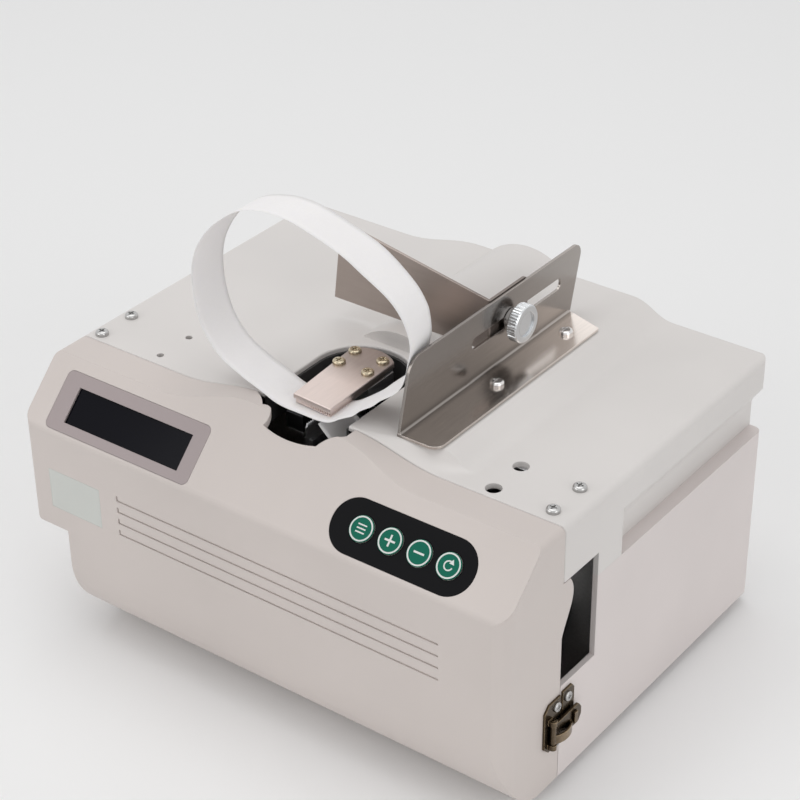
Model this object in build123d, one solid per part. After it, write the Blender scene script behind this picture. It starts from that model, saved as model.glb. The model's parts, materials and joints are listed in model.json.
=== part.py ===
from build123d import *
import os
from math import atan2, cos, degrees, pi, sin, sqrt

os.makedirs("parts", exist_ok=True)

# ---- overall sizes ----
body_w = 254.6          # full width of deck and door
base_inset = 20.3       # the lower left side stands in from the deck by this much
depth = 200.0           # front face of the door to the rear wall
foot_h = 4.0            # rubber feet
deck_h = 127.6          # underside of the body to the deck
ridge_h = 7.0           # raised middle of the deck
door_d = 40.0           # front face of the door to the seam
split_h = 90.0          # ledge where the upper cover sits on the lower housing
ear_h = 52.5            # height at which the left side steps out
wall = 2.5              # moulded wall
seam = 0.4              # gap between door and housing
panel_run = 24.4        # slanted control panel, front to back
panel_drop = 24.1       # slanted control panel, top to bottom
toe_r = door_d - 4.0    # radius under the front of the door
corner_r = 7.0          # right front corner of the door
rear_r = 3.6            # rear corners seen from above
neck_in = 6.3           # depth of the side grooves
neck_lo = 13.0          # height of the straight part of the side grooves
neck_hi = 22.4          # height at which the groove has run out
groove_y = -17.0        # front end of the side grooves
tape_w = 20.0           # paper tape width
tape_t = 0.35           # paper tape thickness as drawn
tape_y0 = -61.2         # front edge of the tape
sheet_t = 1.2           # stainless guide sheet

hw = body_w / 2
xl = -hw + base_inset
front = -depth / 2
rear = depth / 2
sy = front + door_d
z0 = foot_h
zd = z0 + deck_h
zp = zd + ridge_h
zs = z0 + split_h
ze = z0 + ear_h
fold_z = zd - panel_drop
crease_y = front + panel_run
slant = sqrt(panel_run ** 2 + panel_drop ** 2)
uy = -panel_run / slant
uz = -panel_drop / slant
tape_y1 = tape_y0 + tape_w


panel_tilt = degrees(atan2(panel_drop, panel_run))

# ---- small screws through the side walls: y and z ----
small_r = 1.5
hinge_y = sy - seam / 2
hinge_z0, hinge_z1 = ze + 12.0, zd - 12.0
hinge_rows = [hinge_z0 + 8, (hinge_z0 + hinge_z1) / 2, hinge_z1 - 8]
hinge_body_at = [(hinge_y + 10.5, z) for z in hinge_rows]
hinge_door_at = [(hinge_y - 10.5, z) for z in hinge_rows]
latch_screw_at = [(sy - 4.0, z0 + 24.0), (sy - 4.0, z0 + 42.4)]
strike_screw_at = [(sy + 4.0, z0 + 42.8), (sy + 4.0, z0 + 24.0)]


# ---- helpers ----
def box(x0, x1, y0, y1, z_lo, z_hi):
    return Pos((x0 + x1) / 2, (y0 + y1) / 2, (z_lo + z_hi) / 2) * Box(x1 - x0, y1 - y0, z_hi - z_lo)


def cyl(axis, r, a, b, u, v):
    # round bar along an axis from a to b; u and v are the other two coordinates in xyz order
    c = Cylinder(r, b - a)
    m = (a + b) / 2
    if axis == "x":
        return Pos(m, u, v) * Rot(0, 90, 0) * c
    if axis == "y":
        return Pos(u, m, v) * Rot(90, 0, 0) * c
    return Pos(u, v, m) * c


def flat(pts):
    return make_face(Polyline(*pts, close=True))


def prism_y(face, y0, y1):
    return Pos(0, y1, 0) * (Plane.XZ * extrude(face, y1 - y0))


def prism_x(face, x0, x1):
    return Pos(x0, 0, 0) * (Plane.YZ * extrude(face, x1 - x0))


def prism_z(face, z_lo, z_hi):
    return Pos(0, 0, z_lo) * extrude(face, z_hi - z_lo)


def gather(parts):
    out = parts[0]
    for p in parts[1:]:
        out = out + p
    return out


def panel(x, d, h=0.0):
    # a place on the slanted panel, d below the crease and h above the surface
    return Pos(x, crease_y + uy * d + uz * h, zd + uz * d - uy * h) * Rot(panel_tilt, 0, 0)


def screw(head_r, head_h, shank_r, length):
    # pan head with a cross recess, head up, seated at the origin
    head = Pos(0, 0, head_h / 2) * Cylinder(head_r, head_h)
    head = fillet(head.edges().group_by(Axis.Z)[-1], head_h * 0.6)
    cross = gather([Pos(0, 0, head_h) * Box(head_r * 1.1, head_r * 0.26, head_h),
                    Pos(0, 0, head_h) * Box(head_r * 0.26, head_r * 1.1, head_h)])
    return head - cross + Pos(0, 0, -length / 2) * Cylinder(shank_r, length)


def drilled(part, places, x0, x1, r=small_r + 0.03):
    for y, z in places:
        part = part - cyl("x", r, x0, x1, y, z)
    return part


def save(name, shape):
    export_step(shape if not isinstance(shape, list) else Compound(children=shape), f"parts/{name}.step")


# ---- front outline shared by door and housing ----
s_lo = 68.0             # half width where the ridge starts to rise at the seam
s_hi = 22.0             # half width of its flat top at the seam


def outline(t):
    # the front view, drawn inwards by t; x across and z up
    xr = hw - t
    edges = [Line((xl + t, z0 + t), (xr, z0 + t)),
             Line((xr, z0 + t), (xr, zd - t)),
             Line((xr, zd - t), (s_lo, zd - t)),
             Spline((s_lo, zd - t), (s_hi, zp - t), tangents=[(-1, 0), (-1, 0)]),
             Line((s_hi, zp - t), (-s_hi, zp - t)),
             Spline((-s_hi, zp - t), (-s_lo, zd - t), tangents=[(-1, 0), (-1, 0)]),
             Line((-s_lo, zd - t), (-xr, zd - t)),
             Line((-xr, zd - t), (-xr, ze + t)),
             Line((-xr, ze + t), (xl + t, ze + t)),
             Line((xl + t, ze + t), (xl + t, z0 + t))]
    f = make_face(edges)
    f = fillet([v for v in f.vertices() if abs(abs(v.X) - xr) < 0.01 and v.Y > zd - t - 0.1],
               max(3.0 - t, 0.4))
    f = fillet([v for v in f.vertices() if abs(v.X + xr) < 0.01 and v.Y < zd - 20], max(4.5 - t, 0.5))
    f = fillet([v for v in f.vertices() if v.Y < z0 + t + 0.01], max(2.8 - t, 0.3))
    return f


# sections of the deck ridge: y, left foot, left top, right top, right foot
ridge_cuts = [(sy, -s_lo, -s_hi, s_hi, s_lo), (sy + 10, -s_lo, -24.0, 59.0, 78.0),
              (rear, -s_lo, -24.0, 58.0, 80.0)]


def ridge(t):
    # the raised middle of the deck, its surface lowered by t
    faces = []
    for y, a, b, c, d in ridge_cuts:
        low = zd - 8
        w = make_face([Line((a, low), (d, low)), Line((d, low), (d, zd - t)),
                       Spline((d, zd - t), (c, zp - t), tangents=[(-1, 0), (-1, 0)]),
                       Line((c, zp - t), (b, zp - t)),
                       Spline((b, zp - t), (a, zd - t), tangents=[(-1, 0), (-1, 0)]),
                       Line((a, zd - t), (a, low))])
        faces.append(Pos(0, y, 0) * (Plane.XZ * w))
    body = loft(faces[:2], ruled=True) + loft(faces[1:], ruled=True)
    return body


# ---- upper cover: deck, neck grooves, front hole ----
neck_x = hw - neck_in
open_x0, open_x1 = -22.8, 21.4
open_y1 = -1.6
open_r = 21.5           # round rear end of the opening
hump_x = 2.0
hump_w = 20.0
hump_rise = 7.6
hump_r = (hump_w ** 2 + hump_rise ** 2) / (2 * hump_rise)
hump_y0 = 1.5


def hump(t):
    bar = cyl("y", hump_r - t, hump_y0 + t, rear, hump_x, zp + hump_rise - hump_r)
    keep = box(hump_x - hump_w - 4, hump_x + hump_w + 4, hump_y0, rear, zp - 2 * wall, zp + 20)
    return bar & keep


def side_strip(s):
    # the groove under the deck edge, on the side s
    pts = [(s * (hw + 2), zs), (s * neck_x, zs), (s * neck_x, zs + neck_lo), (s * hw, zs + neck_hi),
           (s * hw, zs + neck_hi + 6), (s * (hw + 2), zs + neck_hi + 6)]
    f = flat(pts)
    f = fillet([v for v in f.vertices() if zs + 1 < v.Y < zs + neck_hi + 1], 4.5)
    return prism_y(f, groove_y, rear + 1)


plan = flat([(-hw, sy), (hw, sy), (hw, rear), (-hw, rear)])
plan = fillet([v for v in plan.vertices() if v.Y > 0], rear_r)
plan_in = flat([(-hw + wall, sy - 1), (hw - wall, sy - 1), (hw - wall, rear - wall),
                (-hw + wall, rear - wall)])
plan_in = fillet([v for v in plan_in.vertices() if v.Y > 0], 1.0)
slab = prism_y(outline(0), sy, rear) & prism_z(plan, zs, zp + 20)
slab = slab & prism_y(flat([(-hw, zs), (hw, zs), (hw, zd), (-hw, zd)]), sy, rear)
cover = slab + ridge(0) + hump(0)
hollow = prism_z(plan_in, zs - 1, zd - wall)
hollow = hollow - box(neck_x - wall, hw, groove_y - wall, rear, zs - 1, zs + neck_hi + wall)
hollow = hollow - box(-hw, -neck_x + wall, groove_y - wall, rear, zs - 1, zs + neck_hi + wall)
hollow_ridge = ridge(wall) - box(-hw, hw, rear - wall, rear + 1, 0, zp + 20)
cover = cover - hollow - hollow_ridge - side_strip(1) - side_strip(-1)


def opening(t, y_front):
    # plan of the opening in the deck, drawn inwards by t
    f = flat([(open_x0 + t, y_front), (open_x1 - t, y_front), (open_x1 - t, open_y1 - t),
              (open_x0 + t, open_y1 - t)])
    return fillet([v for v in f.vertices() if v.Y > -20], open_r - t)


cover = cover - prism_z(opening(0, sy - 1), zd - 12, zp + 20)
front_edge = [e for e in cover.edges() if abs(e.center().Y - sy) < 0.01 and e.center().Z > zd - 1.0
              and abs(e.bounding_box().size.Y) < 0.01]
cover = fillet(front_edge, 0.9)
rim_edge = [e for e in cover.edges() if abs(e.center().Z - zp) < 0.01 and abs(e.bounding_box().size.Z) < 0.01
            and open_x0 - 0.1 < e.center().X < open_x1 + 0.1 and sy + 2 < e.center().Y < 0]
cover = fillet(rim_edge, 0.8)

deck_screw_at = [(-hw + 7.3, sy + 5.0), (-hw + 7.3, sy + 24.0), (hw - 10.3, sy + 6.6),
                 (hw - 10.3, sy + 25.6)]
deck_head_r, deck_head_h, deck_shank_r = 3.0, 2.1, 1.5
screw_hole = deck_shank_r + 0.15
for x, y in deck_screw_at:
    cover = cover - Pos(x, y, zd) * Cylinder(screw_hole, 20)
peg_r, pin_hole_r = 3.5, 1.6
pegs = [(89.2, -53.8, peg_r), (89.2, -34.6, peg_r), (-86.9, -53.6, pin_hole_r), (-86.9, -34.8, pin_hole_r)]
for x, y, r in pegs:
    cover = cover - Pos(x, y, zd) * Cylinder(r, 20)

win_y1 = -34.8          # right-hand window, rear edge
win_lo = z0 + 49.6
win_hi = z0 + 101.4
window_cut = box(hw - 3 * wall, hw + 1, sy - 1, win_y1, win_lo, win_hi)
cover = cover - window_cut

fence_x = 42.2
fence_y0, fence_y1 = -54.5, 71.0
flange_w = 20.2
fence_h = 32.0
fence_screw_at = [(fence_x + 10.9, 0.5), (fence_x + 10.9, 53.0)]
for x, y in fence_screw_at:
    cover = cover - Pos(x, y, zp) * Cylinder(1.55, 20)
cover = drilled(cover, hinge_body_at, -hw - 1, -hw + 2 * wall)
save("top_cover", cover)

# ---- lower housing ----
tray = prism_y(outline(0), sy, rear) & prism_z(plan, z0, zs)
tray_in = prism_y(outline(wall), sy - 1, rear - wall) & prism_z(plan_in, z0, zs - wall)
tray = tray - tray_in
rim_x = neck_x - wall - 4.0
tray = tray - box(-rim_x, rim_x, sy + 8, rear - wall - 6, zs - 2 * wall, zs + 1)
tray = tray - box(-hw + wall, hw - wall, sy - 1, groove_y - 4, zs - 2 * wall, zs + 1)
tray = tray - window_cut
inlet_x, inlet_z = -76.0, z0 + 30.0
inlet_w, inlet_h = 27.4, 20.0
switch_x, switch_z = -46.0, z0 + 30.0
switch_w, switch_h = 13.4, 19.4
tray = tray - box(inlet_x - inlet_w / 2, inlet_x + inlet_w / 2, rear - 10, rear + 1,
                  inlet_z - inlet_h / 2, inlet_z + inlet_h / 2)
tray = tray - box(switch_x - switch_w / 2, switch_x + switch_w / 2, rear - 10, rear + 1,
                  switch_z - switch_h / 2, switch_z + switch_h / 2)
vent_n = 9
for i in range(vent_n):
    x = 20 + i * 8.0
    tray = tray - box(x - 1.6, x + 1.6, rear - 10, rear + 1, z0 + 20, z0 + 62)
foot_at = [(xl + 16, sy + 16), (hw - 18, sy + 16), (xl + 16, rear - 18), (hw - 18, rear - 18)]
foot_r = 8.0
for x, y in foot_at:
    tray = tray - Pos(x, y, z0) * Cylinder(2.1, 20)
board_x0, board_x1, board_y0, board_y1 = -28.0, 82.0, 14.0, 84.0
board_z = z0 + 14.0
post_at = [(board_x0 + 5, board_y0 + 5), (board_x1 - 5, board_y0 + 5),
           (board_x0 + 5, board_y1 - 5), (board_x1 - 5, board_y1 - 5)]
for x, y in post_at:
    tray = tray + cyl("z", 3.5, z0 + wall, board_z, x, y) - cyl("z", 1.52, z0 + wall + 3, board_z + 1, x, y)
tray = drilled(tray, hinge_body_at, -hw - 1, -hw + 2 * wall)
tray = drilled(tray, strike_screw_at, hw - 2 * wall, hw + 1)
save("base_tray", tray)

# ---- feet ----
feet = []
for x, y in foot_at:
    pad = Pos(x, y, foot_h / 2) * Cone(foot_r - 1.2, foot_r, foot_h)
    feet.append(pad + cyl("z", 2.0, foot_h, z0 + wall + 1.0, x, y) + cyl("z", 3.0, z0 + wall,
                                                                         z0 + wall + 1.6, x, y))
save("rubber_feet", feet)

# ---- chassis plate behind the tape chamber ----
plate_y0, plate_t = -33.0, 2.5
plate_y1 = plate_y0 + plate_t
top_in = zd - wall
chassis = prism_y(outline(wall), plate_y0, plate_y1) & box(-hw, hw, plate_y0, plate_y1, 0, top_in)
ear_in = 16.0
for x0, x1 in [(-hw + wall, -hw + wall + ear_in), (hw - wall - ear_in, hw - wall)]:
    chassis = chassis + box(x0, x1, sy + 1.5, plate_y1, top_in - plate_t, top_in)
for x, y in deck_screw_at:
    chassis = chassis - Pos(x, y, top_in) * Cylinder(deck_shank_r + 0.02, 12)
roll_z = z0 + 112.0
feed_x, pinch_x = 10.5, 22.5
roll_r = 5.5
shaft_r = 2.0
gear_m = 0.75
gear_teeth, pinion_teeth = 16, 12
motor_z = roll_z - gear_m * (gear_teeth + pinion_teeth) / 2
reel_x, reel_z = 66.0, z0 + 60.0
bush_r = 3.6
for x, z, r in [(feed_x, roll_z, bush_r), (pinch_x, roll_z, bush_r), (reel_x, reel_z, 4.03)]:
    chassis = chassis - cyl("y", r, plate_y0 - 1, plate_y1 + 1, x, z)
liner_lo = zd - 8.0
chassis = chassis - box(open_x0 - 4.0, open_x1 + 4.0, plate_y0 - 1, plate_y1 + 1, liner_lo - 0.5, zd)
save("chassis_plate", chassis)

# ---- screws that hold deck, sheet guides and plate ----
deck_screws = [Pos(x, y, zd) * screw(deck_head_r, deck_head_h, deck_shank_r, 8.0) for x, y in deck_screw_at]
save("deck_screws", deck_screws)

# ---- right-hand guide: bent stainless angle with a slot ----
slot_y0, slot_y1 = -4.0, 63.0
slot_z, slot_r = zp + 18.6, 2.75
wall_face = flat([(fence_y0, zp), (fence_y1, zp), (fence_y1 + 9, zp + fence_h),
                  (fence_y0 + 8.5, zp + fence_h)])
wall_face = fillet([v for v in wall_face.vertices() if v.X < 0 and v.Y > zp + 20], 9)
wall_face = fillet([v for v in wall_face.vertices() if v.X > fence_y1 + 5 and v.Y > zp + 20], 5)
guide = prism_x(wall_face, fence_x, fence_x + sheet_t)
guide = guide - box(fence_x - 1, fence_x + 3, slot_y0 + slot_r, slot_y1 - slot_r, slot_z - slot_r,
                    slot_z + slot_r)
guide = guide - cyl("x", slot_r, fence_x - 1, fence_x + 3, slot_y0 + slot_r, slot_z)
guide = guide - cyl("x", slot_r, fence_x - 1, fence_x + 3, slot_y1 - slot_r, slot_z)
flange = flat([(fence_x, fence_y0), (fence_x + flange_w, fence_y0), (fence_x + flange_w, fence_y1 - 6.0),
               (fence_x, fence_y1)])
flange = fillet([v for v in flange.vertices() if v.X > fence_x + 5 and v.Y < 0], 5)
flange = fillet([v for v in flange.vertices() if v.X > fence_x + 5 and v.Y > 0], 1)
guide = guide + prism_z(flange, zp, zp + sheet_t)
inner_bend = [e for e in guide.edges() if abs(e.center().X - fence_x - sheet_t) < 0.01
              and abs(e.center().Z - zp - sheet_t) < 0.01 and e.length > 50]
guide = fillet(inner_bend, 1.0)
for x, y in fence_screw_at:
    guide = guide - Pos(x, y, zp) * Cylinder(1.6, 6)
save("right_fence", guide)
save("fence_screws", [Pos(x, y, zp + sheet_t) * screw(3.1, 2.0, 1.5, 7.0) for x, y in fence_screw_at])

# ---- back guide that slides along the slot ----
back_y = 10.5
back_z = zp + hump_rise + 0.6
back_x0, back_x1 = -40.4, fence_x - 0.15
back_hi, back_lo = zp + 46.5, zp + fence_h + 0.6
tab_y1 = 39.0
plate_face = flat([(back_x0, back_z), (back_x1, back_z), (back_x1, back_lo), (back_x0 + 4.6, back_hi)])
plate_face = fillet([v for v in plate_face.vertices() if v.X < 0 and v.Y > zp + 20], 2)
back = prism_y(plate_face, back_y, back_y + sheet_t)
tab = flat([(back_y, back_z), (tab_y1, back_z), (tab_y1, back_lo), (back_y, back_lo)])
tab = fillet([v for v in tab.vertices() if v.X > tab_y1 - 1], 3)
back = back + prism_x(tab, back_x1 - sheet_t, back_x1)
bend = [e for e in back.edges() if abs(e.center().X - back_x1) < 0.01 and abs(e.center().Y - back_y) < 0.01
        and e.length > 10]
back = fillet(bend, 1.0)
knob_y = 24.0
nut_x = back_x1 - sheet_t - 3.0
back = back + cyl("x", 4.5, nut_x, back_x1 - sheet_t, knob_y, slot_z)
back = back - cyl("x", 2.55, nut_x - 1, back_x1 + 1, knob_y, slot_z)
save("back_fence", back)

# ---- knurled thumb screw ----
knob_r = 8.6
head_x0 = fence_x + sheet_t + 3.6
head_x1 = head_x0 + 5.0
knob = cyl("x", knob_r, head_x0, head_x1, knob_y, slot_z)
knob = chamfer(knob.edges(), 0.6)
knurl_n = 40
for i in range(knurl_n):
    a = 2 * pi * i / knurl_n
    cut = Pos((head_x0 + head_x1) / 2, knob_y + (knob_r + 0.15) * cos(a), slot_z + (knob_r + 0.15) * sin(a))
    knob = knob - cut * Rot(degrees(a), 0, 0) * Rot(45, 0, 0) * Box(head_x1 - head_x0 + 1, 0.75, 0.75)
knob = knob + cyl("x", 5.0, fence_x + sheet_t + 0.25, head_x0, knob_y, slot_z)
knob = knob + cyl("x", 2.5, nut_x - 2.0, head_x0, knob_y, slot_z)
knob = knob - cyl("x", 5.6, head_x1 - 0.8, head_x1 + 1, knob_y, slot_z)
save("thumb_screw", knob)

# ---- anvil plate over the tape, its bracket and screws ----
anvil_x0, anvil_x1 = -13.0, 10.6
anvil_y0, anvil_y1 = -57.6, -12.5
anvil_t, pad_under = 2.4, 2.2
anvil_top = zp + 2.9
anvil_lo = anvil_top - anvil_t - pad_under


def anvil_plan(t, y_end, rise):
    # slightly tapered tongue with a bowed rear end, drawn inwards by t
    a, b = (anvil_x0 + 3.2 + t, anvil_y0 + 1.2 + t), (anvil_x1 - t, anvil_y0 + t)
    c, d = (anvil_x1 - 1.2 - t, y_end), (anvil_x0 + t, y_end)
    return make_face([Line(a, b), Line(b, c), ThreePointArc(c, ((c[0] + d[0]) / 2, y_end + rise), d),
                      Line(d, a)])


anvil = prism_z(anvil_plan(0, anvil_y1, 4.5), anvil_top - anvil_t, anvil_top)
anvil = chamfer(anvil.edges().group_by(Axis.Z)[-1], 0.35)
anvil = anvil + prism_z(anvil_plan(0.7, anvil_y1 - 6.0, 0.1), anvil_lo, anvil_top - anvil_t)
rib_n, rib_step = 15, 1.25
for i in range(rib_n):
    x = anvil_x0 + 5.0 + i * rib_step
    anvil = anvil - box(x - 0.3, x + 0.3, anvil_y0 - 1, anvil_y0 + 1.7, anvil_lo + 0.5,
                        anvil_top - anvil_t - 0.3)
anvil_screw_at = [(-9.6, -26.0), (-9.6, -15.0), (5.6, -26.0), (5.2, -15.0)]
for x, y in anvil_screw_at:
    anvil = anvil - Pos(x, y, anvil_top) * Cylinder(1.55, 20)
save("anvil_plate", anvil)
bracket = box(anvil_x0 + 0.5, anvil_x1 - 1.5, plate_y1, anvil_y1 - 0.2, zd - 3.0, anvil_lo)
bracket = bracket + box(anvil_x0 + 0.5, anvil_x1 - 1.8, anvil_y1 - 5.5, anvil_y1 - 0.2, anvil_lo - 1,
                        anvil_top - anvil_t)
bracket = bracket + box(anvil_x0 + 0.5, 2.0, plate_y1, plate_y1 + 7.0, zd - 34.0, zd - 3.0)
for x, y in anvil_screw_at:
    bracket = bracket - Pos(x, y, anvil_lo) * Cylinder(1.53, 14)
save("anvil_bracket", bracket)
save("anvil_screws", [Pos(x, y, anvil_top) * screw(2.9, 1.5, 1.5, 9.0) for x, y in anvil_screw_at])

# ---- dark collar that lines the opening in the deck ----
collar_t, lip_h = 1.2, 2.2
collar = prism_z(opening(0.1, sy + 0.5), liner_lo, zp - lip_h) - prism_z(opening(collar_t, sy - 1),
                                                                         liner_lo - 1, zp)
save("opening_collar", collar)

# ---- front door: slanted panel over a tall front that curves under ----
def side(t):
    # side view of the door, drawn inwards by t; y across and z up
    bend = t * 0.414
    f0 = front + t
    y_end = sy - seam if t == 0 else sy + 5
    toe = toe_r - t
    reach = 14.0
    edges = [Line((y_end, z0 + t), (f0 + toe, z0 + t)),
             RadiusArc((f0 + toe, z0 + t), (f0, z0 + t + toe), toe),
             Line((f0, z0 + t + toe), (f0, fold_z - bend)),
             Line((f0, fold_z - bend), (crease_y + bend + reach, zd - t + reach * panel_drop / panel_run)),
             Line((crease_y + bend + reach, zd - t + reach * panel_drop / panel_run),
                  (y_end, zd - t + reach * panel_drop / panel_run)),
             Line((y_end, zd - t + reach * panel_drop / panel_run), (y_end, z0 + t))]
    f = make_face(edges)
    return fillet([v for v in f.vertices() if abs(v.X - f0) < 0.01 and v.Y > fold_z - 5], 5 - t * 0.6)


def door_shape(t):
    p = flat([(-hw + t, front + t), (hw - t, front + t), (hw - t, sy + 6), (-hw + t, sy + 6)])
    p = fillet([v for v in p.vertices() if v.Y < sy and v.X > 0], corner_r - t)
    p = fillet([v for v in p.vertices() if v.Y < sy and v.X < 0], 4.5 - t)
    return prism_y(outline(t), front - 1, sy + 5) & prism_x(side(t), -hw - 1, hw + 1) & prism_z(p, 0,
                                                                                                zp + 30)


door = door_shape(0) - door_shape(wall)
# hand hole that joins the opening in the deck
mouth_l, mouth_r = -25.4, 25.6
shelf_l, shelf_r = -12.3, 15.4
step_y, lip_y = -67.2, crease_y + 2.1
door_mouth = make_face([Line((mouth_l, sy + 1), (mouth_l, sy - 0.9)),
                        ThreePointArc((mouth_l, sy - 0.9), (mouth_l + 5.2, sy - 4.4),
                                      (mouth_l + 7.8, step_y)),
                        ThreePointArc((mouth_l + 7.8, step_y), (shelf_l + 0.9, step_y - 2.6),
                                      (shelf_l, lip_y)),
                        ThreePointArc((shelf_l, lip_y), ((shelf_l + shelf_r) / 2, lip_y - 1.5),
                                      (shelf_r, lip_y)),
                        ThreePointArc((shelf_r, lip_y), (shelf_r + 3.6, step_y - 3.1),
                                      (mouth_r - 1.6, step_y - 1.0)),
                        Line((mouth_r - 1.6, step_y - 1.0), (mouth_r, step_y + 1.0)),
                        Line((mouth_r, step_y + 1.0), (mouth_r, sy + 1)), Line((mouth_r, sy + 1),
                                                                               (mouth_l, sy + 1))])
door = door - prism_z(door_mouth, zd - 30, zp + 5)
# display window
disp_x0, disp_x1, disp_d0, disp_d1 = -106.6, -41.9, 12.0, 28.5
bez_x0, bez_x1, bez_d0, bez_d1 = -115.7, -34.5, 5.9, 33.0
disp_cx, disp_cd = (disp_x0 + disp_x1) / 2, (disp_d0 + disp_d1) / 2
bez_cx, bez_cd = (bez_x0 + bez_x1) / 2, (bez_d0 + bez_d1) / 2
bez_t = 0.8
bezel_seat = extrude(RectangleRounded(bez_x1 - bez_x0 + 0.2, bez_d1 - bez_d0 + 0.2, 3.1), -bez_t)
door = door - panel(bez_cx, bez_cd) * bezel_seat
door = door - panel(disp_cx, disp_cd) * Box(disp_x1 - disp_x0 + 0.4, disp_d1 - disp_d0 + 0.4, 4 * wall)
# keypad: recessed pad with four caps
key_x0, key_pitch, key_d, key_n = 51.5, 14.13, 20.6, 4
key_r = 5.6
pad_cx, pad_w, pad_h, pad_t = 71.2, 69.4, 23.8, 0.6
pad_plan = RectangleRounded(pad_w, pad_h, pad_h / 2 - 0.3)
key_at = [key_x0 + key_pitch * i for i in range(key_n)]
door = door - panel(pad_cx, key_d) * extrude(RectangleRounded(pad_w + 0.2, pad_h + 0.2, pad_h / 2 - 0.2),
                                             -pad_t)
for x in key_at:
    door = door - panel(x, key_d) * Cylinder(3.0, 4 * wall)
# four long grooves across the front
groove_x0, groove_x1 = -74.4, 95.4
groove_z = [z0 + 81.7 - 5.85 * i for i in range(4)]
for z in groove_z:
    door = door - box(groove_x0, groove_x1, front - 1, front + 0.7, z - 0.45, z + 0.45)
    door = door - box(groove_x0 - 0.45, groove_x0 + 0.45, front - 1, front + 0.7, z - 0.45, z + 2.2)
# finger bulge that reaches into the side window
bulge = make_face([Line((sy - 2, z0 + 74.0), (sy - 2, win_hi - seam)),
                   Line((sy - 2, win_hi - seam), (sy + 4.6, win_hi - seam)),
                   Spline((sy + 4.6, win_hi - seam), (sy + 6.9, z0 + 91.0), (sy + 2.6, z0 + 81.0),
                          (sy - seam, z0 + 74.0)),
                   Line((sy - seam, z0 + 74.0), (sy - 2, z0 + 74.0))])
door = door + prism_x(bulge, hw - wall, hw)

# ---- display: frame, window, module ----
lens_h = 1.2
frame_plan = RectangleRounded(bez_x1 - bez_x0, bez_d1 - bez_d0, 3.0)
frame = panel(bez_cx, bez_cd) * extrude(frame_plan, -bez_t)
frame = frame - panel(disp_cx, disp_cd) * Box(disp_x1 - disp_x0, disp_d1 - disp_d0, 4 * wall)
save("display_frame", frame)
lens = panel(disp_cx, disp_cd, -bez_t - 0.2) * extrude(Rectangle(disp_x1 - disp_x0, disp_d1 - disp_d0),
                                                       -lens_h)
save("display_window", lens)
mod_h = -wall - 0.05
module = panel(disp_cx, disp_cd, mod_h) * extrude(Rectangle(71.2, 22.0), -6.0)
module = module + panel(disp_cx, disp_cd, mod_h) * extrude(Rectangle(disp_x1 - disp_x0, disp_d1 - disp_d0),
                                                           wall - bez_t - lens_h - 0.2)
module = module + panel(disp_cx - 0.5, disp_cd, mod_h - 6.0) * extrude(Rectangle(76.0, 24.0), -1.6)
save("display_module", module)

# ---- keypad: pad, caps, switches, board ----
travel = 0.8
pad = panel(pad_cx, key_d) * extrude(pad_plan, -pad_t)
for x in key_at:
    pad = pad - panel(x, key_d) * Cylinder(key_r + 0.15, 4)
save("keypad_pad", pad)
cap_top = 0.9
cap_t = cap_top + pad_t - travel - 0.1
stem_r = 2.9
for x, name in zip(key_at, ["fun_button", "plus_button", "minus_button", "reset_button"]):
    cap = Pos(0, 0, cap_top - cap_t / 2) * Cylinder(key_r, cap_t)
    cap = fillet(cap.edges().group_by(Axis.Z)[-1], 0.3)
    cap = cap + Pos(0, 0, cap_top - cap_t - 1.4) * Cylinder(stem_r, 2.8)
    save(name, panel(x, key_d) * cap)
stem_end = cap_top - cap_t - 2.8
dome_top = stem_end - travel - 0.15
key_board = panel(pad_cx, key_d, dome_top - 3.5) * extrude(Rectangle(66.0, 20.0), -1.6)
for x in key_at:
    key_board = key_board + panel(x, key_d, dome_top - 3.5) * extrude(Rectangle(6.0, 6.0), 2.6)
    key_board = key_board + panel(x, key_d, dome_top - 0.9) * extrude(Circle(1.7), 0.9)
save("keypad_board", key_board)
for x in [pad_cx - 30.5, pad_cx + 30.5]:
    for d in [key_d - 7.5, key_d + 7.5]:
        top = -wall
        low = dome_top - 3.5
        door = door + panel(x, d, low) * extrude(Circle(1.9), top - low + 0.5)
door = drilled(door, hinge_door_at, -hw - 1, -hw + 2 * wall)
door = drilled(door, latch_screw_at, hw - 2 * wall, hw + 1)
label_x0, label_x1, label_t = -114.9, -85.0, 0.15
label_z0, label_z1 = z0 + 63.0, z0 + 83.0
door = door - box(label_x0, label_x1, front - 1, front + label_t, label_z0, label_z1)
save("front_door", door)
save("blank_label", box(label_x0, label_x1, front, front + label_t, label_z0, label_z1))

# ---- hinge on the left: two leaves and a pin ----
hinge_x = -hw - 2.9
pin_r, barrel_r = 1.25, 2.4
knuckle = (hinge_z1 - hinge_z0) / 5
leaf_t = 1.2
leaf_w = 16.0


def knuckles(which):
    out = []
    for i in range(5):
        if i % 2 == which:
            out.append((hinge_z0 + i * knuckle + 0.15, hinge_z0 + (i + 1) * knuckle - 0.15))
    return out


def leaf(which, direction):
    y_in = hinge_y + direction * 0.6
    y_out = hinge_y + direction * leaf_w
    part = box(-hw - leaf_t, -hw, min(y_in, y_out), max(y_in, y_out), hinge_z0, hinge_z1)
    for a, b in knuckles(1 - which):
        part = part - box(-hw - 6, -hw, hinge_y - 3.2, hinge_y + 3.2, a - 0.3, b + 0.3)
    for a, b in knuckles(which):
        part = part + cyl("z", barrel_r, a, b, hinge_x, hinge_y)
        part = part + box(hinge_x, -hw, min(hinge_y, y_in + direction * 2),
                          max(hinge_y, y_in + direction * 2), a, b)
    part = part - cyl("z", pin_r + 0.06, hinge_z0 - 1, hinge_z1 + 1, hinge_x, hinge_y)
    return part


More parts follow.
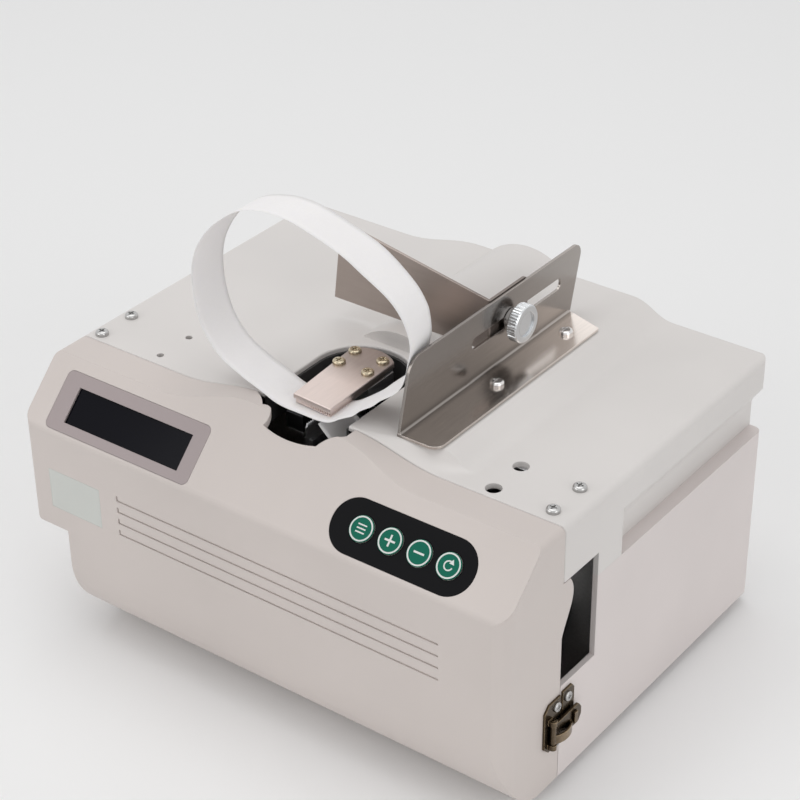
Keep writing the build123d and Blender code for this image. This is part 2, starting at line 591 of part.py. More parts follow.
save("hinge_leaf_body", drilled(leaf(0, 1), hinge_body_at, -hw - 3, -hw + 1))
save("hinge_leaf_door", drilled(leaf(1, -1), hinge_door_at, -hw - 3, -hw + 1))
pin = cyl("z", pin_r, hinge_z0 - 0.6, hinge_z1 + 0.6, hinge_x, hinge_y)
pin = pin + cyl("z", barrel_r * 0.8, hinge_z1 + 0.1, hinge_z1 + 1.2, hinge_x, hinge_y)
save("hinge_pin", pin)


# ---- latch on the right: plate and hasp on the door, staple on the housing ----
hasp_z0, hasp_z1 = z0 + 26.5, z0 + 36.0
hasp_y = sy - 8.2
hasp_x = hw + 2.4
hasp_r = 1.3
plate_k = 1.0
plate_z0, plate_z1 = z0 + 21.8, z0 + 46.2


def bevelled(y0, y1, z_lo, z_hi, c):
    return flat([(y0 + c, z_lo), (y1, z_lo), (y1, z_hi), (y0 + c, z_hi), (y0, z_hi - c), (y0, z_lo + c)])


latch_plate = prism_x(bevelled(sy - 12.4, sy - seam - 0.5, plate_z0, plate_z1, 3.2), hw, hw + plate_k)
for a, b in [(hasp_z0 - 2.6, hasp_z0 - 0.2), (hasp_z1 + 0.2, hasp_z1 + 2.6)]:
    latch_plate = latch_plate + cyl("z", hasp_r + 0.4, a, b, hasp_x, hasp_y)
    latch_plate = latch_plate + box(hw, hasp_x, hasp_y - hasp_r - 0.4, hasp_y + hasp_r + 0.4, a, b)
latch_plate = latch_plate - cyl("z", 0.86, hasp_z0 - 5, hasp_z1 + 5, hasp_x, hasp_y)
latch_plate = drilled(latch_plate, latch_screw_at, hw - 1, hw + 3)
save("latch_plate", latch_plate)
hasp_y1 = sy + 12.0
hasp_t = 1.1
arm_x = hw + plate_k + 0.75
leaf_face = flat([(hasp_y, hasp_z0), (hasp_y1 - 2.0, hasp_z0), (hasp_y1, hasp_z0 + 3.0),
                  (hasp_y1, hasp_z1 - 3.0),
                  (hasp_y1 - 2.0, hasp_z1), (hasp_y, hasp_z1)])
leaf_face = fillet([v for v in leaf_face.vertices() if v.X > sy], 1.6)
hasp = prism_x(leaf_face, arm_x, arm_x + hasp_t) + cyl("z", hasp_r, hasp_z0, hasp_z1, hasp_x, hasp_y)
hasp = hasp + cyl("z", 0.8, hasp_z0 - 2.8, hasp_z1 + 2.8, hasp_x, hasp_y)
# thumb tab: a strip that bows out along the lower edge
bow = make_face([ThreePointArc((hasp_y - 0.5, arm_x + 0.2), (hasp_y + 5.0, arm_x + 2.6),
                               (sy + 5.5, arm_x + 0.2)),
                 Line((sy + 5.5, arm_x + 0.2), (sy + 5.5, arm_x + 1.0)),
                 ThreePointArc((sy + 5.5, arm_x + 1.0), (hasp_y + 5.0, arm_x + 3.5),
                               (hasp_y - 0.5, arm_x + 1.0)),
                 Line((hasp_y - 0.5, arm_x + 1.0), (hasp_y - 0.5, arm_x + 0.2))])
bow = mirror(Rot(0, 0, 90) * bow, Plane.YZ)
hasp = hasp + prism_z(bow, hasp_z0, hasp_z0 + 4.2)
staple_y, staple_w, staple_l = sy + 6.8, 2.2, 5.4
mid_z = (hasp_z0 + hasp_z1) / 2
hasp = hasp - box(arm_x - 1, arm_x + 3, staple_y - staple_w / 2 - 0.5, staple_y + staple_w / 2 + 0.5,
                  mid_z - staple_l / 2 - 0.4, mid_z + staple_l / 2 + 0.4)
save("latch_hasp", hasp)
strike = prism_x(flat([(sy + 0.6, plate_z0), (sy + 7.4, plate_z0), (sy + 9.0, plate_z0 + 2.0),
                       (sy + 9.0, plate_z1 - 1.6), (sy + 7.4, plate_z1 + 0.6), (sy + 0.6, plate_z1 + 0.6)]),
                 hw, hw + plate_k)
strike = strike + box(hw, hw + 4.0, staple_y - staple_w / 2, staple_y + staple_w / 2, mid_z - staple_l / 2,
                      mid_z + staple_l / 2)
save("latch_strike", drilled(strike, strike_screw_at, hw - 1, hw + 3))


def side_screws(places, side_x, turn):
    return [Pos(side_x, y, z) * Rot(0, turn, 0) * screw(2.3, 1.2, small_r, 3.6) for y, z in places]


body_small = side_screws(strike_screw_at, hw + plate_k, 90)
body_small = body_small + side_screws(hinge_body_at, -hw - leaf_t, -90)
door_small = side_screws(latch_screw_at, hw + plate_k, 90)
door_small = door_small + side_screws(hinge_door_at, -hw - leaf_t, -90)
save("small_screws_door", door_small)


# ---- paper tape: closed loop over the deck and the lead from the reel ----
def band(pts, t, n, closed):
    # a strip of thickness t along a smooth curve through pts, drawn as x and z
    curve = Spline(*pts, periodic=closed) if closed else Spline(*pts)
    side_a, side_b = [], []
    count = n if closed else n + 1
    for i in range(count):
        u = i / n
        p = curve.position_at(u)
        d = curve.tangent_at(u)
        side_a.append((p.X - d.Y * t / 2, p.Y + d.X * t / 2))
        side_b.append((p.X + d.Y * t / 2, p.Y - d.X * t / 2))
    if closed:
        a, b = flat(side_a), flat(side_b)
        return (a - b) if a.area > b.area else (b - a)
    return flat(side_a + side_b[::-1])


under = anvil_lo - 0.35 - tape_t / 2
loop_pts = [(-11.0, under), (-2.0, under), (7.0, under), (12.4, zp - 1.6), (17.5, zp + 2.0),
            (23.0, zp + 6.0),
            (29.0, zp + 10.6), (34.8, zp + 15.8), (38.8, zp + 21.5), (40.8, zp + 27.5), (42.8, zp + 33.8),
            (47.0, zp + 39.8), (50.3, zp + 46.5), (50.4, zp + 54.0), (47.0, zp + 61.5), (40.5, zp + 67.6),
            (31.0, z0 + 208.0), (16.0, z0 + 215.5), (-2.0, z0 + 220.0), (-20.0, z0 + 219.5), (-35.0,
                                                                                              z0 + 214.0),
            (-48.0, z0 + 203.0), (-56.5, z0 + 188.0), (-58.0, z0 + 172.0), (-54.0, z0 + 156.0),
            (-45.5, z0 + 145.5), (-34.0, zp + 5.0), (-24.0, zp + 1.5), (-17.0, under + 1.0)]
loop = prism_y(band(loop_pts, tape_t, 110, True), tape_y0, tape_y1)
save("tape_loop", loop)

# ---- tape reel on its spindle ----
core_r, roll_out, disc_r, disc_t = 13.0, 36.0, 44.0, 1.2
disc_gap = 0.4
spindle_r = 4.0
reel_y0 = tape_y0 - disc_gap - disc_t
reel_y1 = tape_y1 + disc_gap + disc_t
spool = cyl("y", core_r, reel_y0, reel_y1, reel_x, reel_z)
spool = spool + cyl("y", disc_r, reel_y0, reel_y0 + disc_t, reel_x, reel_z)
spool = spool + cyl("y", disc_r, reel_y1 - disc_t, reel_y1, reel_x, reel_z)
spool = spool - cyl("y", spindle_r + 0.08, reel_y0 - 1, reel_y1 + 1, reel_x, reel_z)
for i in range(6):
    a = 2 * pi * i / 6
    spool = spool - cyl("y", 5.5, reel_y0 - 1, reel_y1 + 1, reel_x + 28.0 * cos(a), reel_z + 28.0 * sin(a))
save("reel_spool", spool)
roll = cyl("y", roll_out, tape_y0, tape_y1, reel_x, reel_z) - cyl("y", core_r + 0.02, tape_y0 - 1,
                                                                  tape_y1 + 1,
                                                                 reel_x, reel_z)
save("tape_roll", roll)
spindle = cyl("y", spindle_r, reel_y0 - 4.0, plate_y1 + 1.5, reel_x, reel_z)
spindle = spindle + cyl("y", 8.0, reel_y1 + 0.3, plate_y0, reel_x, reel_z)
save("reel_spindle", spindle)
keeper = cyl("y", 9.0, reel_y0 - 3.4, reel_y0 - 0.4, reel_x, reel_z)
keeper = chamfer(keeper.edges(), 0.5) - cyl("y", spindle_r + 0.01, reel_y0 - 6, reel_y0, reel_x, reel_z)
save("reel_keeper", keeper)

nip_x = (feed_x + pinch_x) / 2
lead_x = reel_x - roll_out - 0.5 - tape_t / 2
lead_pts = [(lead_x, reel_z), (lead_x - 1.2, reel_z + 14), (lead_x - 7.0, reel_z + 30),
            (nip_x + 0.2, roll_z - 10),
            (nip_x, roll_z - 3), (nip_x, roll_z + 4), (nip_x - 0.7, roll_z + 9.5), (nip_x - 4.0,
                                                                                    roll_z + 13.6),
            (nip_x - 9.5, under - 1.3)]
save("tape_lead", prism_y(band(lead_pts, tape_t, 60, False), tape_y0, tape_y1))


# ---- feed drive: two rollers, three gears, a small motor ----
def gear(teeth, width, turn):
    r = gear_m * teeth / 2
    half = pi / (2 * teeth) * 0.84
    tip, root = r + 0.8 * gear_m, r - 1.1 * gear_m
    slope = 0.38 * gear_m / r
    pts = []
    for i in range(teeth):
        c = 2 * pi * i / teeth + turn
        for rad, off in [(root, -half - slope * 1.1), (r, -half), (tip, -half + slope * 0.8),
                         (tip, half - slope * 0.8), (r, half), (root, half + slope * 1.1)]:
            pts.append((rad * cos(c + off), rad * sin(c + off)))
    return extrude(flat(pts), width)


def on_y(shape, x, y_back, z):
    return Pos(x, y_back, z) * (Plane.XZ * shape)


gear_y0, gear_y1 = plate_y1 + 1.0, plate_y1 + 5.0
roll_y0, roll_y1 = tape_y0 - 0.8, tape_y1 + 0.8
step = 2 * pi / gear_teeth
for name, x, turn in [("feed", feed_x, 0.0), ("pinch", pinch_x, step / 2)]:
    tread = cyl("y", roll_r, roll_y0, roll_y1, x, roll_z) - cyl("y", shaft_r, roll_y0 - 1, roll_y1 + 1,
                                                                x, roll_z)
    save(f"{name}_roller", tread)
    wheel = on_y(gear(gear_teeth, gear_y1 - gear_y0, turn), x, gear_y1, roll_z)
    save(f"{name}_shaft_gear", wheel + cyl("y", shaft_r, roll_y0 - 1.0, gear_y1 + 0.6, x, roll_z))
bushes = []
for x in [feed_x, pinch_x]:
    bush = cyl("y", bush_r - 0.02, plate_y0 - 0.5, plate_y1 + 0.4, x, roll_z) + cyl("y", 5.0,
                                                                                    plate_y0 - 1.4, plate_y0,
                                                                                 x, roll_z)
    bushes.append(bush - cyl("y", shaft_r + 0.04, plate_y0 - 3, plate_y1 + 3, x, roll_z))
save("roller_bushes", bushes)
motor_shaft_r = 1.5
pinion_turn = pi / 2 + pi / pinion_teeth
motor_y0 = gear_y1 + 5.0
pinion = on_y(gear(pinion_teeth, gear_y1 - gear_y0, pinion_turn), feed_x, gear_y1, motor_z)
save("motor_pinion", pinion + cyl("y", motor_shaft_r, gear_y0 - 0.3, motor_y0 + 5.0, feed_x, motor_z))
motor_r, motor_l = 11.0, 28.0
motor = cyl("y", motor_r, motor_y0, motor_y0 + motor_l, feed_x, motor_z)
motor = chamfer(motor.edges(), 0.8) + cyl("y", 5.0, motor_y0 - 1.6, motor_y0, feed_x, motor_z)
motor = motor - cyl("y", motor_shaft_r + 0.06, motor_y0 - 3, motor_y0 + 6.0, feed_x, motor_z)
save("feed_motor", motor)
mount_y0, mount_t = gear_y1 + 3.0, 2.0
mount = box(3.2, 36.0, mount_y0, mount_y0 + mount_t, z0 + 88.0, z0 + 118.0)
mount = mount - cyl("y", 5.05, mount_y0 - 1, mount_y0 + 5, feed_x, motor_z)
for x, z in [(5.8, z0 + 91.0), (25.5, z0 + 91.0), (33.2, z0 + 115.0)]:
    mount = mount + cyl("y", 2.4, plate_y1, mount_y0, x, z)
save("motor_bracket", mount)

# ---- press with heater and cutter, each lifted by a solenoid ----
stroke = 3.2
rod_r = 2.0
press_x, cut_x, lift_y = -8.6, 0.6, -48.0
lift_top = under - tape_t / 2 - 0.35 - stroke
heater = box(press_x - 4.6, press_x + 4.4, tape_y0 + 3.5, tape_y1 - 1.5, lift_top - 8.0, lift_top)
heater = chamfer(heater.edges().group_by(Axis.Z)[-1], 0.5)
save("heater_block", heater)
carrier = box(press_x - 4.6, press_x + 4.4, tape_y0 + 3.5, tape_y1 - 1.5, lift_top - 10.0, lift_top - 8.0)
save("press_carrier", carrier + cyl("z", rod_r, z0 + 64.0, lift_top - 10.0, press_x, lift_y))
blade_lo, blade_n = lift_top - 12.0, 16
tooth = tape_w / blade_n
edge = [(tape_y0 - 0.5, blade_lo), (tape_y1 + 0.5, blade_lo), (tape_y1 + 0.5, lift_top - 1.6)]
for i in range(blade_n):
    edge.append((tape_y1 - (i + 0.5) * tooth, lift_top))
    edge.append((tape_y1 - (i + 1.0) * tooth, lift_top - 1.6))
edge.append((tape_y0 - 0.5, lift_top - 1.6))
save("cutter_blade", prism_x(flat(edge), cut_x - 0.4, cut_x + 0.4))
holder = box(cut_x - 2.2, cut_x + 2.2, tape_y0 + 1, tape_y1 - 1, lift_top - 16.0, lift_top - 8.0)
holder = holder - box(cut_x - 0.41, cut_x + 0.41, tape_y0 - 1, tape_y1 + 1, blade_lo, lift_top)
save("cutter_holder", holder + cyl("z", rod_r, z0 + 34.0, lift_top - 16.0, cut_x, lift_y))
guide_block = box(press_x - 6.0, cut_x + 6.0, lift_y - 6.0, plate_y0, z0 + 90.0, z0 + 98.0)
for x in [press_x, cut_x]:
    guide_block = guide_block - cyl("z", rod_r + 0.06, z0 + 80, z0 + 105, x, lift_y)
save("lifter_guide", guide_block)
coils = []
for x, x0, x1, lo, hi in [(press_x, press_x - 6.6, press_x + 6.6, z0 + 60.0, z0 + 84.0),
                          (cut_x, cut_x - 7.0, cut_x + 7.0, z0 + 28.0, z0 + 54.0)]:
    coil = box(x0, x1, lift_y - 7.0, lift_y + 7.0, lo, hi)
    coil = fillet(coil.edges().filter_by(Axis.Z), 2.5)
    coil = coil - cyl("z", rod_r + 0.08, lo + 2.0, hi + 1, x, lift_y)
    coil = coil - cyl("z", rod_r + 0.08, z0 + 55.0, hi + 1, cut_x, lift_y)  # the cutter rod passes here
    coils.append(coil)
save("lift_solenoids", coils)
save("solenoid_bracket", box(press_x - 6.0, cut_x + 6.0, lift_y + 7.0, plate_y0, z0 + 30.0, z0 + 82.0)
     - box(press_x - 3.0, cut_x + 3.0, lift_y + 5.0, plate_y0 + 1, z0 + 36.0, z0 + 76.0))

# ---- electrics ----
pcb_t = 1.6
pcb = box(board_x0, board_x1, board_y0, board_y1, board_z, board_z + pcb_t)
for x, y in post_at:
    pcb = pcb - Pos(x, y, board_z) * Cylinder(1.6, 10)
save("control_board", pcb)
bz = board_z + pcb_t
parts_on = [box(-18, -2, 24, 40, bz, bz + 3.0), box(6, 24, 22, 34, bz, bz + 15.0),
            box(28, 46, 22, 34, bz, bz + 15.0),
            box(54, 58, 22, 54, bz, bz + 26.0), cyl("z", 6.0, bz, bz + 22.0, 68.0, 34.0),
            cyl("z", 6.0, bz, bz + 22.0, 68.0, 50.0), cyl("z", 4.0, bz, bz + 12.0, 40.0, 52.0),
            box(-18, 10, 70, 77, bz, bz + 8.0), box(18, 46, 70, 77, bz, bz + 8.0), box(-20, -12, 48, 62,
                                                                                       bz, bz + 9.0)]
save("board_components", parts_on)
save("small_screws_body", body_small + [Pos(x, y, bz) * screw(2.6, 1.3, 1.5, 3.0) for x, y in post_at])
tr_x0, tr_x1, tr_y0, tr_y1 = -92.0, -44.0, 22.0, 62.0
tr_z0, tr_z1 = z0 + wall, z0 + wall + 40.0
core = box(tr_x0, tr_x1, tr_y0 + 9, tr_y1 - 9, tr_z0, tr_z1) - box(tr_x0 + 8, tr_x1 - 8, tr_y0, tr_y1,
                                                                   tr_z0 + 8, tr_z1 - 8)
save("transformer_core", core)
winding = box(tr_x0 + 8.2, tr_x1 - 8.2, tr_y0, tr_y1, tr_z0 + 8.2, tr_z1 - 8.2)
winding = fillet(winding.edges().filter_by(Axis.X), 4)
save("transformer_winding", winding)

inlet = box(inlet_x - inlet_w / 2 + 0.2, inlet_x + inlet_w / 2 - 0.2, rear - 22.0, rear,
            inlet_z - inlet_h / 2 + 0.2,
            inlet_z + inlet_h / 2 - 0.2)
inlet = inlet + box(inlet_x - inlet_w / 2 - 3, inlet_x + inlet_w / 2 + 3, rear - wall - 2.0, rear - wall,
                    inlet_z - inlet_h / 2 - 3, inlet_z + inlet_h / 2 + 3)
socket = flat([(-12.0, -8.0), (12.0, -8.0), (12.0, 3.5), (7.5, 8.0), (-7.5, 8.0), (-12.0, 3.5)])
inlet = inlet - Pos(inlet_x, rear + 1, inlet_z) * (Plane.XZ * extrude(socket, 17.0))
for dx, dz in [(-7.0, -1.5), (0.0, 2.5), (7.0, -1.5)]:
    inlet = inlet + box(inlet_x + dx - 1.0, inlet_x + dx + 1.0, rear - 17.0, rear - 6.0, inlet_z + dz - 2.0,
                        inlet_z + dz + 2.0)
save("mains_inlet", inlet)
bank = box(switch_x - switch_w / 2 + 0.2, switch_x + switch_w / 2 - 0.2, rear - 16.0, rear,
           switch_z - switch_h / 2 + 0.2, switch_z + switch_h / 2 - 0.2)
bank = bank + box(switch_x - switch_w / 2 - 1.5, switch_x + switch_w / 2 + 1.5, rear - wall - 1.5,
                  rear - wall,
                  switch_z - switch_h / 2 - 1.5, switch_z + switch_h / 2 + 1.5)
bank = bank - box(switch_x - 5.5, switch_x + 5.5, rear - 10.0, rear + 1, switch_z - 8.1, switch_z + 8.1)
bank = bank - cyl("x", 0.9, switch_x - 6.2, switch_x + 6.2, rear - 5.0, switch_z)
save("power_switch", bank)
rocker = prism_x(flat([(rear - 7.2, switch_z - 6.0), (rear - 7.2, switch_z + 6.0),
                       (rear - 1.4, switch_z + 7.3),
                       (rear - 2.4, switch_z), (rear - 1.4,
                                                switch_z - 7.3)]), switch_x - 5.2, switch_x + 5.2)
rocker = rocker + cyl("x", 0.84, switch_x - 6.0, switch_x + 6.0, rear - 5.0, switch_z)
tip = Pos(0, rear - 5.0, switch_z) * Rot(7, 0, 0) * Pos(0, 5.0 - rear, -switch_z)
save("power_rocker", tip * rocker)
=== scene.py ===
import json
import math

import bmesh
import bpy
from mathutils import Matrix, Vector


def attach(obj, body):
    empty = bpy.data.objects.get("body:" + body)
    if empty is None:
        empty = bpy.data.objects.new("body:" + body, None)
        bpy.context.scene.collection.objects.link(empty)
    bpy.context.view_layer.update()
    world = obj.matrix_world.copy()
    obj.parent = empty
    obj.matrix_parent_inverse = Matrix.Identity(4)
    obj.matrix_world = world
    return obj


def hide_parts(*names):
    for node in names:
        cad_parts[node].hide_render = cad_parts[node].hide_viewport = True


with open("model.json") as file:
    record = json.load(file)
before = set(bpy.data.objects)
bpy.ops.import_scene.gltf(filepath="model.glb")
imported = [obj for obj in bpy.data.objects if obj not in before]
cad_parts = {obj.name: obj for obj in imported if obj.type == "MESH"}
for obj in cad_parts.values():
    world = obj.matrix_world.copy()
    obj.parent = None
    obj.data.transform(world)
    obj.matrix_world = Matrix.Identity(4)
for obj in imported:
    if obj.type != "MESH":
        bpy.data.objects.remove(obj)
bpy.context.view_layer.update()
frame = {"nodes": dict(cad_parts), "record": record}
nodes = frame["nodes"]
print("frame loaded with", len(nodes), "nodes")

# camera, in metres and degrees
view = {
    "place": (0.49393, -0.64898, 0.61751),
    "yaw": -36.889,
    "pitch": 32.743,
    "roll": -0.61,
    "lens": 99.1,
    "shift": (-0.0100, 0.0484),
    "sensor": 36,
    "reach": 20,
}


def placeCamera():
    yaw, pitch, roll = (math.radians(view[k]) for k in ("yaw", "pitch", "roll"))
    ahead = Vector((math.sin(yaw) * math.cos(pitch), math.cos(yaw) * math.cos(pitch), -math.sin(pitch)))
    side = ahead.cross(Vector((0, 0, 1))).normalized()
    up = side.cross(ahead)
    right = side * math.cos(roll) + up * math.sin(roll)
    top = up * math.cos(roll) - side * math.sin(roll)
    data = bpy.data.cameras.new("camera")
    data.lens = view["lens"]
    data.sensor_width = view["sensor"]
    data.shift_x, data.shift_y = view["shift"]
    data.clip_end = view["reach"]
    cam = bpy.data.objects.new("camera", data)
    turn = Matrix((right, top, -ahead)).transposed().to_4x4()
    cam.matrix_world = Matrix.Translation(view["place"]) @ turn
    bpy.context.scene.collection.objects.link(cam)
    bpy.context.scene.camera = cam


placeCamera()


# shared surface effects, each a node group
def startGroup(name, inputs, outputs):
    group = bpy.data.node_groups.new(name, "ShaderNodeTree")
    for label, kind, value in inputs:
        sock = group.interface.new_socket(name=label, in_out="INPUT", socket_type=kind)
        sock.default_value = value
    for label, kind in outputs:
        group.interface.new_socket(name=label, in_out="OUTPUT", socket_type=kind)
    start = group.nodes.new("NodeGroupInput")
    end = group.nodes.new("NodeGroupOutput")
    return group, start, end


def addNode(tree, kind, **settings):
    node = tree.nodes.new(kind)
    for key, value in settings.items():
        setattr(node, key, value)
    return node


def addMath(tree, operation, first, second, clamp=False):
    node = addNode(tree, "ShaderNodeMath", operation=operation, use_clamp=clamp)
    for place, value in enumerate((first, second)):
        if isinstance(value, (int, float)):
            node.inputs[place].default_value = value
        else:
            tree.links.new(value, node.inputs[place])
    return node.outputs[0]


def objectPlace(tree):
    return addNode(tree, "ShaderNodeTexCoord").outputs["Object"]


def noiseAt(tree, vector, scale, detail=3.0, rough=0.55):
    node = addNode(tree, "ShaderNodeTexNoise")
    node.inputs["Detail"].default_value = detail
    node.inputs["Roughness"].default_value = rough
    tree.links.new(vector, node.inputs["Vector"])
    if isinstance(scale, (int, float)):
        node.inputs["Scale"].default_value = scale
    else:
        tree.links.new(scale, node.inputs["Scale"])
    return node.outputs["Fac"]


grainLook = {"coarse": 0.31, "fineShare": 0.65, "coarseShare": 0.35, "drift": 9.0}
brushLook = {"lines": 900.0, "cloud": 28.0}
edgeLook = {"radius": 0.0004, "gain": 6.0, "patches": 160.0}


def grainGroup():
    # fine spark-eroded grain of a mould, with a slow drift of tone
    group, start, end = startGroup("mouldGrain", [("Fineness", "NodeSocketFloat", 1800.0)],
                                   [("Height", "NodeSocketFloat"), ("Drift", "NodeSocketFloat")])
    place = objectPlace(group)
    fine = noiseAt(group, place, start.outputs["Fineness"], 2.0, 0.6)
    wider = addMath(group, "MULTIPLY", start.outputs["Fineness"], grainLook["coarse"])
    coarse = noiseAt(group, place, wider, 2.0)
    fineShare = addMath(group, "MULTIPLY", fine, grainLook["fineShare"])
    coarseShare = addMath(group, "MULTIPLY", coarse, grainLook["coarseShare"])
    group.links.new(addMath(group, "ADD", fineShare, coarseShare), end.inputs["Height"])
    group.links.new(noiseAt(group, place, grainLook["drift"], 3.0), end.inputs["Drift"])
    return group


def brushGroup():
    # long fine scratches along one axis: Stretch is small on the axis that they follow
    group, start, end = startGroup("brushedLines", [("Stretch", "NodeSocketVector", (1, 1, 1))],
                                   [("Lines", "NodeSocketFloat"), ("Cloud", "NodeSocketFloat")])
    place = objectPlace(group)
    scaled = addNode(group, "ShaderNodeVectorMath", operation="MULTIPLY")
    group.links.new(place, scaled.inputs[0])
    group.links.new(start.outputs["Stretch"], scaled.inputs[1])
    group.links.new(noiseAt(group, scaled.outputs[0], brushLook["lines"], 4.0, 0.7), end.inputs["Lines"])
    group.links.new(noiseAt(group, place, brushLook["cloud"], 4.0), end.inputs["Cloud"])
    return group


def edgeGroup():
    # rounds the highlights of corners and finds the edges; finishes lighten these as rubbed wear and, on
    # the stainless guides and bronze latch, as a painted highlight
    group, start, end = startGroup("softEdge", [("Amount", "NodeSocketFloat", 0.5)],
                                   [("Edge", "NodeSocketFloat"), ("Normal", "NodeSocketVector")])
    bevel = addNode(group, "ShaderNodeBevel", samples=4)
    bevel.inputs["Radius"].default_value = edgeLook["radius"]
    flatSide = addNode(group, "ShaderNodeNewGeometry").outputs["Normal"]
    dot = addNode(group, "ShaderNodeVectorMath", operation="DOT_PRODUCT")
    group.links.new(bevel.outputs["Normal"], dot.inputs[0])
    group.links.new(flatSide, dot.inputs[1])
    turned = addMath(group, "SUBTRACT", 1.0, dot.outputs["Value"], clamp=True)
    strong = addMath(group, "MULTIPLY", turned, edgeLook["gain"], clamp=True)
    broken = noiseAt(group, objectPlace(group), edgeLook["patches"], 5.0, 0.7)
    patchy = addMath(group, "MULTIPLY", strong, broken)
    rubbed = addMath(group, "MULTIPLY", patchy, start.outputs["Amount"], clamp=True)
    group.links.new(rubbed, end.inputs["Edge"])
    group.links.new(bevel.outputs["Normal"], end.inputs["Normal"])
    return group


grain = grainGroup()
brush = brushGroup()
softEdge = edgeGroup()


def useGroup(tree, group, **values):
    node = addNode(tree, "ShaderNodeGroup", node_tree=group)
    for key, value in values.items():
        node.inputs[key].default_value = value
    return node


def mixColour(tree, factor, first, second):
    node = addNode(tree, "ShaderNodeMix", data_type="RGBA")
    tree.links.new(factor, node.inputs["Factor"])
    for place, value in ((6, first), (7, second)):
        if hasattr(value, "is_linked"):
            tree.links.new(value, node.inputs[place])
        else:
            node.inputs[place].default_value = (*value, 1)
    return node.outputs[2]


def mapRange(tree, value, low, high, fromLow=0.0, fromHigh=1.0):
    node = addNode(tree, "ShaderNodeMapRange")
    node.inputs["From Min"].default_value = fromLow
    node.inputs["From Max"].default_value = fromHigh
    node.inputs["To Min"].default_value = low
    node.inputs["To Max"].default_value = high
    tree.links.new(value, node.inputs["Value"])
    return node.outputs["Result"]


def startMaterial(name, **sockets):
    mat = bpy.data.materials.new(name)
    mat.use_nodes = True
    tree = mat.node_tree
    body = tree.nodes["Principled BSDF"]
    for key, value in sockets.items():
        body.inputs[key].default_value = value
    return mat, tree, body


def combineLength(tree, value):
    node = addNode(tree, "ShaderNodeCombineXYZ")
    tree.links.new(value, node.inputs["X"])
    return node.outputs[0]


def shade(value, factor):
    return tuple(c * factor for c in value)


def bump(tree, body, height, strength, distance, normal=None):
    node = addNode(tree, "ShaderNodeBump")
    node.inputs["Strength"].default_value = strength
    node.inputs["Distance"].default_value = distance
    tree.links.new(height, node.inputs["Height"])
    if normal is not None:
        tree.links.new(normal, node.inputs["Normal"])
    tree.links.new(node.outputs["Normal"], body.inputs["Normal"])


# light and floor
studio = {
    "world": 0.52,
    "lamps": [  # name, place, size, power
        ("overheadLamp", (-0.2, 0.1, 1.9), 1.6, 11.2),
        ("frontLamp", (-0.9, -1.7, 1.0), 1.2, 6.4),
        ("sideLamp", (1.9, -0.5, 0.9), 1.2, 7.0),
    ],
    "aim": (0, 0, 0.1),
    "floor": 3.0,  # half of its width
    "floorTone": (0.93, 0.93, 0.93),
    "floorRough": 0.9,
}


def linkMesh(name, bm):
    bmesh.ops.recalc_face_normals(bm, faces=bm.faces)
    data = bpy.data.meshes.new(name)
    bm.to_mesh(data)
    bm.free()
    obj = bpy.data.objects.new(name, data)
    bpy.context.scene.collection.objects.link(obj)
    return obj


def floorMaterial():
    mat, tree, body = startMaterial("paleFloor", Roughness=studio["floorRough"])
    body.inputs["Base Color"].default_value = (*studio["floorTone"], 1)
    return mat


def lightStudio():
    world = bpy.data.worlds.new("studioWorld")
    bpy.context.scene.world = world
    world.use_nodes = True
    tree = world.node_tree
    back = tree.nodes["Background"]
    back.inputs["Color"].default_value = (1, 1, 1, 1)
    path = addNode(tree, "ShaderNodeLightPath")  # the world is white to the eye and in metal and glass
    clear = addMath(tree, "MAXIMUM", path.outputs["Is Camera Ray"], path.outputs["Is Transmission Ray"])
    seen = addMath(tree, "MAXIMUM", clear, path.outputs["Is Glossy Ray"])
    tree.links.new(mapRange(tree, seen, studio["world"], 1.0), back.inputs["Strength"])
    for name, place, size, power in studio["lamps"]:
        data = bpy.data.lights.new(name, "AREA")
        data.size = size
        data.energy = power
        lamp = bpy.data.objects.new(name, data)
        lamp.location = place
        lamp.rotation_euler = (Vector(studio["aim"]) - Vector(place)).to_track_quat("-Z", "Y").to_euler()
        bpy.context.scene.collection.objects.link(lamp)
    bm = bmesh.new()
    bmesh.ops.create_grid(bm, x_segments=2, y_segments=2, size=studio["floor"])
    floor = linkMesh("floor", bm)
    floor.data.materials.append(floorMaterial())


lightStudio()
print("studio and shared effects ready")

# how each kind of surface wears and shines
rollLook = {"darkRings": 0.72, "rough": 0.75, "relief": 0.6, "depth": 0.00008}
plasticLook = {"rubbed": 1.12, "smoother": 0.04, "duller": 0.06, "relief": 0.35}
metalLook = {
    # wear is how strongly the edge mask lightens edges: wear, and on the stainless guides a painted
    # highlight
    "wear": 0.6,
    "smoother": 0.05,
    "duller": 0.1,
    "streak": (-0.05, 0.08),  # how far single scratches change the roughness
    "waves": 16.0,
    "relief": 0.5,
}
platedLook = {"wear": 0.5, "rubbed": 1.25, "smoother": 0.3, "duller": 0.7, "relief": 0.15, "depth": 0.0001}
paperLook = {
    "glow": 0.12,
    "glowRadius": (0.0006, 0.0006, 0.0005),
    "fibres": 700.0,
    "clouds": 45.0,
    "fibreTone": 0.975,
    "cloudTone": 0.96,
    "cloudShare": 0.6,
    "rough": (0.6, 0.8),
    "relief": 0.4,
    "depth": 0.00003,
}


